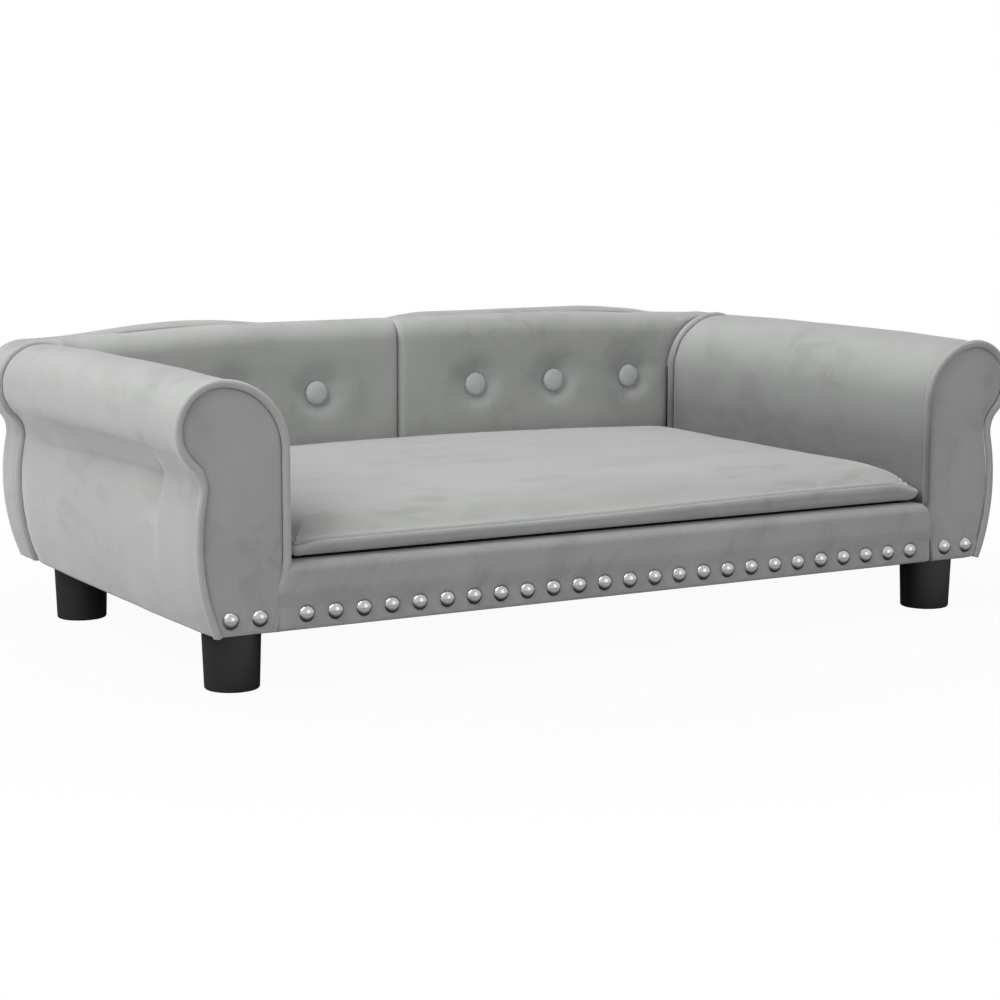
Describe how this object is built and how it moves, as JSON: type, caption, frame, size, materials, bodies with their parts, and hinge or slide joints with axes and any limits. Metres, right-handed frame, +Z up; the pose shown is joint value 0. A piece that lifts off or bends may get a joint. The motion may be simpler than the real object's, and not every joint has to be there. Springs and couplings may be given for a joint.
{
  "type": "dog bed",
  "caption": "Small sofa-shaped dog bed with rolled arms, a low tufted back, a padded front rail with domed nails, a loose seat cushion and short round feet.",
  "frame": {"origin": "centre of the bed's outline on the floor, under the four feet", "axes": "+X along the width, from the arm at the left of the picture to the arm at its right; +Y from the front rail to the back; +Z up"},
  "size_m": [0.95, 0.55, 0.3],
  "materials": {
    "grey_velvet": "matte",
    "foam": "matte",
    "wadding": "matte",
    "lining_cloth": "matte",
    "plywood": "matte",
    "hardboard": "matte",
    "black_plastic": "satin",
    "zinc_plated_steel": "satin",
    "chrome": "polished",
    "zip_nylon": "matte",
    "twine": "matte"
  },
  "bodies": {
    "frame": {"arm_left_base_rail": "plywood", "arm_left_bottom_board": "plywood", "arm_left_cover": "grey_velvet", "arm_left_foam": "foam", "arm_left_front_board": "plywood", "arm_left_front_panel": "grey_velvet", "arm_left_front_piping": "grey_velvet", "arm_left_inner_panel": "plywood", "arm_left_rear_board": "plywood", "arm_left_rear_piping": "grey_velvet", "arm_left_top_rail": "plywood", "arm_nails": "chrome", "arm_right_base_rail": "plywood", "arm_right_bottom_board": "plywood", "arm_right_cover": "grey_velvet", "arm_right_foam": "foam", "arm_right_front_board": "plywood", "arm_right_front_panel": "grey_velvet", "arm_right_front_piping": "grey_velvet", "arm_right_inner_panel": "plywood", "arm_right_rear_board": "plywood", "arm_right_rear_piping": "grey_velvet", "arm_right_top_rail": "plywood", "back_board": "hardboard", "back_buttons_left": "grey_velvet", "back_buttons_right": "grey_velvet", "back_end_boards": "plywood", "back_pad_left_core": "foam", "back_pad_left_cover": "grey_velvet", "back_pad_right_core": "foam", "back_pad_right_cover": "grey_velvet", "back_posts": "plywood", "back_rails": "plywood", "back_wadding": "wadding", "button_ties": "twine", "button_toggles": "hardboard", "centre_slat": "plywood", "deck_board": "plywood", "deck_cloth": "lining_cloth", "deck_screws": "zinc_plated_steel", "dust_cover": "lining_cloth", "frame_bolts": "zinc_plated_steel", "front_rail_board": "plywood", "leg_front_left": "black_plastic", "leg_front_right": "black_plastic", "leg_rear_left": "black_plastic", "leg_rear_right": "black_plastic", "leg_studs": "zinc_plated_steel", "leg_t_nuts": "zinc_plated_steel", "rail_cover": "grey_velvet", "rail_foam": "foam", "rail_nails": "chrome", "rear_cover": "grey_velvet", "rear_rail_board": "plywood", "side_cleats": "plywood"},
    "cushion": {"cushion_core": "foam", "cushion_top_cover": "grey_velvet", "cushion_base_cover": "grey_velvet", "cushion_zip_tape": "zip_nylon"},
    "zip_slider": {"cushion_zip_slider": "zinc_plated_steel"}
  },
  "joints": [
    {"name": "cushion_lift", "type": "slide", "parent": "frame", "child": "cushion", "axis": [0, 0, 1], "range_m": [0, 0.25]},
    {"name": "zip_slide", "type": "slide", "parent": "cushion", "child": "zip_slider", "axis": [1, 0, 0], "range_m": [-0.48, 0]}
  ]
}
